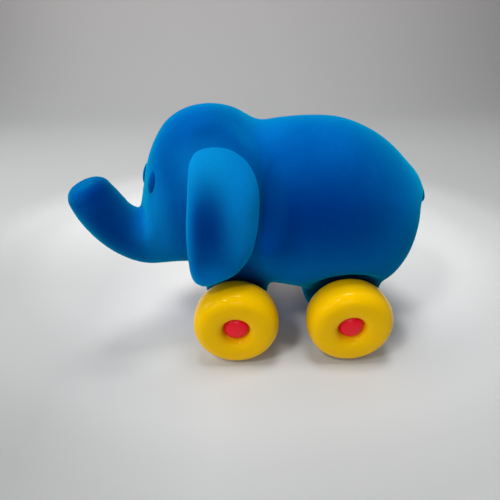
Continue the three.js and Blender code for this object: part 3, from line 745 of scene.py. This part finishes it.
def tail():
    """A lobe down the middle of the rump that stands prouder towards its tip."""
    rings = []
    angle = np.linspace(0, 2 * math.pi, SMALL_SIDES, endpoint=False)[:, None]
    for share in 0.5 - 0.5 * np.cos(np.linspace(0.04, math.pi - 0.04, 48)):
        along = tail_along(share)
        ring = skin_normal(along, 0.0) * tail_rise(share) * np.cos(angle)
        width = TAIL_WIDTH / 2 * tail_swell(share)
        ring = ring + np.array([0, 1, 0]) * width * np.sin(angle)
        rings.append(skin_point(along, 0.0) + ring)
    return loft("tail_lobe", rings)


# Wheels and caps
def ring_arc(centre, radial_half, axial_half, start, end, steps):
    """Part of a wheel's rounded section, from start to end in half turns."""
    points = []
    for angle in np.linspace(start, end, steps) * math.pi:
        fullness = HUB_ROUNDNESS if math.cos(angle) > 0 else WHEEL_ROUNDNESS
        points.append([centre - radial_half * float(round_power(np.cos(angle), fullness)),
                       axial_half * float(round_power(np.sin(angle), fullness))])
    return points


def wheel_section():
    """From the bore over the recess, crown and tread to the open back and the hub tube."""
    half = WHEEL_WIDTH / 2
    depth = (WHEEL_RADIUS - RING_INNER_RADIUS) / 2
    centre = (WHEEL_RADIUS + RING_INNER_RADIUS) / 2
    mouth = math.acos(((centre - HUB_MOUTH_RADIUS) / depth) ** (HUB_ROUNDNESS / 2)) / math.pi
    floor = half - HUB_RECESS_DEPTH
    ceiling = floor - WHEEL_WALL
    bore = AXLE_RADIUS + RUNNING_GAP
    back = ring_arc(centre, depth, half, *BACK_ARC, 12)
    lip = back[-1][0]
    inner_lip = lip - WHEEL_WALL
    inner_depth = (WHEEL_RADIUS - HUB_MOUTH_RADIUS) / 2 - WHEEL_WALL
    inner_centre = (WHEEL_RADIUS + HUB_MOUTH_RADIUS) / 2
    wide, narrow, rise = RECESS_CORNER
    return [
        [bore, -half], [bore, floor - BORE_CHAMFER], [bore + BORE_CHAMFER, floor],
        [HUB_MOUTH_RADIUS - wide, floor], [HUB_MOUTH_RADIUS - narrow, floor + rise],
        *ring_arc(centre, depth, half - CROWN_SLACK, mouth, CROWN_ARC_END, 40),
        [WHEEL_RADIUS, TREAD_FLAT_WIDTH / 2], [WHEEL_RADIUS, -TREAD_FLAT_WIDTH / 2],
        *back,
        [lip, -half + LIP_ROUND], [lip - LIP_ROUND, -half],
        [inner_lip + LIP_ROUND, -half], [inner_lip, -half + LIP_ROUND],
        [inner_lip, -half + RIM_LIP_DEPTH],
        *ring_arc(inner_centre, inner_depth, INSIDE_HALF_WIDTH, *INSIDE_ARC, 20)[::-1],
        [inner_centre - inner_depth, ceiling], [HUB_TUBE_RADIUS + TUBE_CHAMFER, ceiling],
        [HUB_TUBE_RADIUS, ceiling - TUBE_CHAMFER], [HUB_TUBE_RADIUS, -half],
    ]


def wheel_rib(angle, middle, side):
    radial = np.array([math.sin(angle), 0, math.cos(angle)])
    across = np.array([math.cos(angle), 0, -math.sin(angle)])
    rim = WHEEL_RADIUS - WHEEL_WALL / 2
    crest = [
        (HUB_TUBE_RADIUS - WHEEL_WALL / 2, INSIDE_HALF_WIDTH - RIB_HUB_DROP),
        (rim - RIB_SHOULDER_INSET, INSIDE_HALF_WIDTH - RIB_SHOULDER_DROP),
        (rim, INSIDE_HALF_WIDTH - RIB_RIM_DROP),
    ]
    corners = []
    for radius, top in crest:
        for y in (RIB_SETBACK - WHEEL_WIDTH / 2, top):
            for half in (-RIB_THICKNESS / 2, RIB_THICKNESS / 2):
                corners.append(radial * radius + across * half + (0, side * y, 0) + middle)
    rib = mesh_object("rib", corners, RIB_FACES, smooth=False)
    face_out(rib)
    return rib


def wheel(name, axle_x, side):
    """A moulded shell, ribbed behind."""
    middle = (axle_x, side * WHEEL_MID_Y, AXLE_Z)
    shell = revolve(name, wheel_section(), WHEEL_SEGMENTS, middle, side)
    for k in range(RIB_COUNT):
        boolean(shell, wheel_rib(2 * math.pi * k / RIB_COUNT, middle, side), "UNION")
    return shell


def cap(name, axle_x, side):
    """A domed disc with a blind socket for the axle's end."""
    socket = AXLE_RADIUS + RUNNING_GAP
    shoulder = CAP_RIM_THICKNESS - CAP_RIM_ROUND
    profile = [
        [0, CAP_SOCKET_DEPTH], [socket, CAP_SOCKET_DEPTH], [socket, 0],
        [CAP_RADIUS - CAP_EDGE_BREAK, 0], [CAP_RADIUS, CAP_EDGE_BREAK], [CAP_RADIUS, shoulder],
    ]
    for angle in np.linspace(0, math.pi / 2, 15):
        radius = CAP_RADIUS * math.cos(angle) ** CAP_DOME_POWER if angle < math.pi / 2 else 0
        profile.append([radius, shoulder + (CAP_DOME_RISE + CAP_RIM_ROUND) * math.sin(angle)])
    foot = WHEEL_MID_Y + WHEEL_WIDTH / 2 - HUB_RECESS_DEPTH + SEAT_GAP
    return revolve(name, profile, CAP_SEGMENTS, (axle_x, side * foot, AXLE_Z), side, on_axis=True)


# Materials
class Nodes:
    """Short ways to add and join shader nodes."""

    def __init__(self, name):
        self.material = bpy.data.materials.new(name)
        self.material.use_nodes = True
        self.tree = self.material.node_tree
        self.shader = self.tree.nodes["Principled BSDF"]
        self.place = self.add("ShaderNodeTexCoord").outputs["Object"]

    def add(self, kind, **settings):
        node = self.tree.nodes.new(kind)
        for key, value in settings.items():
            setattr(node, key, value)
        return node

    def join(self, a, b):
        self.tree.links.new(a, b)

    def noise(self, per_metre, detail=3.0, roughness=0.5, stretch=None):
        node = self.add("ShaderNodeTexNoise")
        node.inputs["Scale"].default_value = per_metre
        node.inputs["Detail"].default_value = detail
        node.inputs["Roughness"].default_value = roughness
        source = self.place
        if stretch:
            mapping = self.add("ShaderNodeMapping")
            mapping.inputs["Scale"].default_value = stretch
            self.join(source, mapping.inputs["Vector"])
            source = mapping.outputs["Vector"]
        self.join(source, node.inputs["Vector"])
        return node.outputs["Fac"]

    def ramp(self, value, stops):
        node = self.add("ShaderNodeValToRGB")
        ramp = node.color_ramp
        while len(ramp.elements) < len(stops):
            ramp.elements.new(0.5)
        for element, (position, colour) in zip(ramp.elements, stops):
            element.position = position
            element.color = (*colour, 1)
        self.join(value, node.inputs["Fac"])
        return node.outputs["Color"]

    def span(self, value, low, high, start=0.0, end=1.0, kind="LINEAR"):
        """A value from start to end becomes one from low to high."""
        node = self.add("ShaderNodeMapRange", interpolation_type=kind)
        limits = {"From Min": start, "From Max": end, "To Min": low, "To Max": high}
        for socket, limit in limits.items():
            node.inputs[socket].default_value = limit
        self.join(value, node.inputs["Value"])
        return node.outputs["Result"]

    def axes(self, vector):
        node = self.add("ShaderNodeSeparateXYZ")
        self.join(vector, node.inputs["Vector"])
        return node.outputs

    def away(self, place, middle, half):
        """Distance from a middle, as a share of an ellipsoid's half sizes in millimetres."""
        for operation, amount in (("SUBTRACT", middle), ("DIVIDE", half)):
            node = self.add("ShaderNodeVectorMath", operation=operation)
            self.join(place, node.inputs[0])
            node.inputs[1].default_value = [v * MM for v in amount]
            place = node.outputs["Vector"]
        node = self.add("ShaderNodeVectorMath", operation="LENGTH")
        self.join(place, node.inputs[0])
        return node.outputs["Value"]

    def mix(self, share, a, b, kind="MIX"):
        node = self.add("ShaderNodeMix", data_type="RGBA", blend_type=kind)
        for value, socket in ((share, node.inputs[0]), (a, node.inputs[6]), (b, node.inputs[7])):
            if isinstance(value, (int, float)):
                socket.default_value = value
            elif isinstance(value, tuple):
                socket.default_value = (*value, 1)
            else:
                self.join(value, socket)
        return node.outputs[2]

    def clouded(self, value, dark, pale):
        """A colour between two, given as 0 to 255 values of a picture."""
        return self.ramp(value, [(0.3, linear(*dark)), (0.7, linear(*pale))])

    def finish(self, colour, **plain):
        """Joins the colour and sets the shader's own sockets, and gives back the material."""
        self.join(colour, self.shader.inputs["Base Color"])
        for name, value in plain.items():
            self.shader.inputs[name.replace("_", " ")].default_value = value
        return self.material

    def bump(self, heights):
        """Bumps laid over each other: each is (height, distance in millimetres, strength)."""
        normal = None
        for height, distance, strength in heights:
            node = self.add("ShaderNodeBump")
            node.inputs["Distance"].default_value = distance * MM
            node.inputs["Strength"].default_value = strength
            self.join(height, node.inputs["Height"])
            if normal:
                self.join(normal, node.inputs["Normal"])
            normal = node.outputs["Normal"]
        self.join(normal, self.shader.inputs["Normal"])


def linear(*srgb):
    """A colour given as 0 to 255 values of a picture."""
    out = []
    for value in srgb:
        value /= 255
        out.append(value / 12.92 if value <= 0.04045 else ((value + 0.055) / 1.055) ** 2.4)
    return tuple(out)


def flock_blue(name, patches):
    """Short blue flock on foam: a velvety sheen, fine grain and faint mottling.

    Each patch paints an area lighter or darker, mostly painted light and shade: its middle and half
    sizes in millimetres, how much of it shows and its colour. Areas are alike on the left and the
    right.
    """
    n = Nodes(name)
    grain = n.noise(2600, 2, 0.6)
    mirror = n.add("ShaderNodeVectorMath", operation="ABSOLUTE")
    n.join(n.place, mirror.inputs[0])
    sides_alike = n.add("ShaderNodeCombineXYZ")
    for axis, source in (("X", n.place), ("Y", mirror.outputs["Vector"]), ("Z", n.place)):
        n.join(n.axes(source)[axis], sides_alike.inputs[axis])
    colour = n.clouded(n.noise(70, 4, 0.6), (0, 73, 152), (1, 81, 162))
    # Patches of painted light and shade, mixed over the flock's colour
    for middle, half, share, shade in patches:
        distance = n.away(sides_alike.outputs["Vector"], middle, half)
        colour = n.mix(n.span(distance, share, 0.0, kind="SMOOTHERSTEP"), colour, shade)
    speckle = n.ramp(grain, [(0.3, (0.72, 0.72, 0.78)), (0.75, (1.3, 1.3, 1.18))])
    n.bump([(grain, 0.12, 0.5), (n.noise(900, 3, 0.6), 0.18, 0.35), (n.noise(160, 2), 0.25, 0.2)])
    return n.finish(n.mix(0.4, colour, speckle, "MULTIPLY"), Roughness=1.0, Specular_IOR_Level=0.0,
                    Sheen_Weight=1.0, Sheen_Roughness=0.5, Sheen_Tint=(*linear(4, 166, 176), 1))


def wheel_yellow():
    """Glossy moulded plastic with a faint orange peel and a few scuffs."""
    n = Nodes("wheel_yellow")
    n.join(n.span(n.noise(260, 4, 0.6), 0.1, 0.2), n.shader.inputs["Roughness"])
    n.bump([(n.noise(180, 2, 0.4), 0.2, 0.12), (n.noise(1500, 2), 0.03, 0.2)])
    return n.finish(n.clouded(n.noise(45), (238, 185, 0), (244, 192, 0)), Specular_IOR_Level=0.14,
                    Specular_Tint=(1.0, 0.8, 0.3, 1), Subsurface_Weight=0.08,
                    Subsurface_Radius=(1.0, 0.6, 0.1), Subsurface_Scale=0.002)


def cap_red():
    """Satin moulded plastic."""
    n = Nodes("cap_red")
    n.join(n.span(n.noise(700, 3, 0.6), 0.18, 0.3), n.shader.inputs["Roughness"])
    n.bump([(n.noise(1400, 2), 0.03, 0.25)])
    return n.finish(n.clouded(n.noise(120), (230, 12, 34), (240, 18, 44)),
                    Specular_IOR_Level=0.3, Specular_Tint=(1.0, 0.7, 0.72, 1))


def bush_white():
    """Dull white moulded plastic."""
    n = Nodes("bush_white")
    n.join(n.span(n.noise(900, 3, 0.6), 0.45, 0.65), n.shader.inputs["Roughness"])
    n.bump([(n.noise(1200, 2), 0.03, 0.25)])
    return n.finish(n.clouded(n.noise(200), (222, 220, 212), (236, 234, 228)))


def axle_steel():
    """Drawn steel rod, with fine lines along it."""
    n = Nodes("axle_steel")
    lines = n.noise(900, 3, 0.6, (1, 0.04, 1))
    n.join(n.span(lines, 0.25, 0.42), n.shader.inputs["Roughness"])
    n.bump([(lines, 0.02, 0.3)])
    return n.finish(n.clouded(lines, (168, 170, 174), (196, 198, 202)), Metallic=1.0)


def table_white():
    """A pale table top, with painted light and shade on it, that fades into a pale wall."""
    n = Nodes("table_white")
    parts = n.axes(n.place)
    # Painted light: the table's grey darkens away from the middle
    reach = n.span(n.away(n.place, TABLE_MIDDLE, TABLE_SPREAD), 0.0, 1.0, end=TABLE_GREY_REACH)
    top = n.ramp(reach, [(stop, linear(grey, grey + 1, grey + 1)) for stop, grey in TABLE_GREYS])
    # Painted shade across the table's front, darkest on the left
    across = n.span(parts["X"], 0.0, 1.0, -TABLE_ACROSS_HALF, TABLE_ACROSS_HALF)
    side_shade = n.ramp(across, [(stop, (level, level, level)) for stop, level in TABLE_ACROSS])
    front = n.span(parts["Y"], 0.0, 1.0, *TABLE_FRONT_FADE, kind="SMOOTHSTEP")
    top = n.mix(front, top, side_shade, "MULTIPLY")
    # Painted light, paler where the head's shadow falls
    pale = n.span(n.away(n.place, PALE_MIDDLE, PALE_HALF), 1.0, 0.0, kind="SMOOTHERSTEP")
    top = n.mix(pale, top, PALE_TINT, "MULTIPLY")
    height = n.span(parts["Z"], 0.0, 1.0, end=WALL_FADE_HEIGHT)
    colour = n.mix(height, top, linear(*WALL_COLOUR))
    colour = n.mix(n.span(n.noise(9), 0.0, 0.06), colour, linear(190, 190, 190))
    return n.finish(colour, Roughness=0.7, Specular_IOR_Level=0.2)


# Stage, lights and camera
def table():
    """The table and the wall behind it as one sheet with a wide bend between them."""
    rows = [(y, 0.0) for y in np.linspace(TABLE_FRONT_Y, TABLE_BACK_Y, 15)]
    for angle in np.linspace(0, math.pi / 2, 17)[1:]:
        rows.append((TABLE_BACK_Y + WALL_BEND * math.sin(angle), WALL_BEND * (1 - math.cos(angle))))
    rows.append((TABLE_BACK_Y + WALL_BEND, WALL_TOP_Z))
    xs = np.linspace(-TABLE_HALF_WIDTH, TABLE_HALF_WIDTH, 9)
    count = len(xs)
    vertices = [(x, y, z) for y, z in rows for x in xs]
    faces = []
    for row in range(len(rows) - 1):
        for a in range(row * count, row * count + count - 1):
            faces.append((a, a + 1, a + count + 1, a + count))
    obj = mesh_object("table", vertices, faces)
    obj.data.materials.append(table_white())


def world():
    """A dim world for the light, which seen directly or in gloss is a pale background."""
    studio = bpy.data.worlds.new("studio")
    bpy.context.scene.world = studio
    studio.use_nodes = True
    tree = studio.node_tree
    dim = tree.nodes["Background"]
    dim.inputs["Color"].default_value = (*WORLD_COLOUR, 1)
    dim.inputs["Strength"].default_value = WORLD_STRENGTH
    pale = tree.nodes.new("ShaderNodeBackground")
    pale.inputs["Color"].default_value = (*linear(*BACKGROUND_COLOUR), 1)
    path = tree.nodes.new("ShaderNodeLightPath")
    mirrored = tree.nodes.new("ShaderNodeMath")
    mirrored.operation = "MAXIMUM"
    tree.links.new(path.outputs["Is Glossy Ray"], mirrored.inputs[0])
    tree.links.new(path.outputs["Is Transmission Ray"], mirrored.inputs[1])
    seen = tree.nodes.new("ShaderNodeMath")
    seen.operation = "MAXIMUM"
    tree.links.new(path.outputs["Is Camera Ray"], seen.inputs[0])
    tree.links.new(mirrored.outputs["Value"], seen.inputs[1])
    choose = tree.nodes.new("ShaderNodeMixShader")
    tree.links.new(seen.outputs["Value"], choose.inputs["Fac"])
    tree.links.new(dim.outputs["Background"], choose.inputs[1])
    tree.links.new(pale.outputs["Background"], choose.inputs[2])
    tree.links.new(choose.outputs["Shader"], tree.nodes["World Output"].inputs["Surface"])


def lamp(name, azimuth, elevation, size, power):
    """A square lamp that shines on the animal."""
    azimuth, elevation = math.radians(azimuth), math.radians(elevation)
    ray = Vector((math.sin(azimuth) * math.cos(elevation), -math.cos(azimuth) * math.cos(elevation),
                  math.sin(elevation)))
    light = bpy.data.lights.new(name, "AREA")
    light.shape = "RECTANGLE"
    light.size = light.size_y = size
    light.energy = power
    obj = bpy.data.objects.new(name, light)
    bpy.context.collection.objects.link(obj)
    place = Vector(LAMP_TARGET) + ray * LAMP_DISTANCE
    obj.location = place
    obj.rotation_mode = "QUATERNION"
    obj.rotation_quaternion = (Vector(LAMP_TARGET) - place).to_track_quat("-Z", "Y")


def camera():
    data = bpy.data.cameras.new("camera")
    data.sensor_fit = "HORIZONTAL"
    data.sensor_width = SENSOR_WIDTH
    data.lens = FOCAL_PIXELS / PICTURE_PIXELS * SENSOR_WIDTH
    data.clip_start = 0.01
    data.clip_end = 10.0
    obj = bpy.data.objects.new("camera", data)
    bpy.context.collection.objects.link(obj)
    right = Vector((1, 0, 0))
    up = Vector((0, math.sin(CAMERA_PITCH), math.cos(CAMERA_PITCH)))
    ahead = Vector((0, math.cos(CAMERA_PITCH), -math.sin(CAMERA_PITCH)))
    tilted_right = right * math.cos(CAMERA_ROLL) + up * math.sin(CAMERA_ROLL)
    tilted_up = up * math.cos(CAMERA_ROLL) - right * math.sin(CAMERA_ROLL)
    turn = Matrix((tilted_right, tilted_up, -ahead)).transposed()
    obj.matrix_world = Matrix.Translation(Vector(CAMERA_PLACE) * MM) @ turn.to_4x4()
    bpy.context.scene.camera = obj


def dress(obj, material, body, nodes):
    """Gives a piece its material and its slot, and puts it on its body in place of CAD nodes."""
    obj.data.materials.clear()
    obj.data.materials.append(material)
    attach(obj, body)
    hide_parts(*nodes)


bpy.context.scene.view_settings.view_transform = "Standard"
camera()
world()
for settings in LAMPS:
    lamp(*settings)
table()

# The animal, all of it soft foam
body_flock = flock_blue("flock_blue", BODY_LIGHT_AND_SHADE_PATCHES)
ear_flock = flock_blue("flock_blue_ear", EAR_LIGHT_AND_SHADE_PATCHES)
small_flock = flock_blue("flock_blue_small", EYE_DARK_PATCHES)
foam = [(animal_body(), "body", body_flock), (tail(), "tail", small_flock)]
for side in (-1, 1):
    foam.append((ear(side), side_name(side) + "_ear", ear_flock))
    foam.append((eye(side), side_name(side) + "_eye", small_flock))
for piece, node, flock in foam:
    dress(piece, flock, "elephant", [node])

# The wheels turn, and the caps stay on the axles
yellow = wheel_yellow()
red = cap_red()
for end, axle_x in (("front", FRONT_AXLE_X), ("rear", REAR_AXLE_X)):
    for side in (-1, 1):
        stem = f"{end}_{side_name(side)}"
        shell = wheel(stem + "_wheel_shell", axle_x, side)
        dress(shell, yellow, stem + "_roller", [stem + "_wheel"])
        dress(cap(stem + "_hub_cap", axle_x, side), red, "elephant", [stem + "_cap"])

# The bushes and axles are shown as they come
shown = {"_bush": bush_white(), "_axle": axle_steel()}
for name, obj in frame["nodes"].items():
    for ending, material in shown.items():
        if name.endswith(ending):
            for slot in obj.material_slots:
                slot.material = material
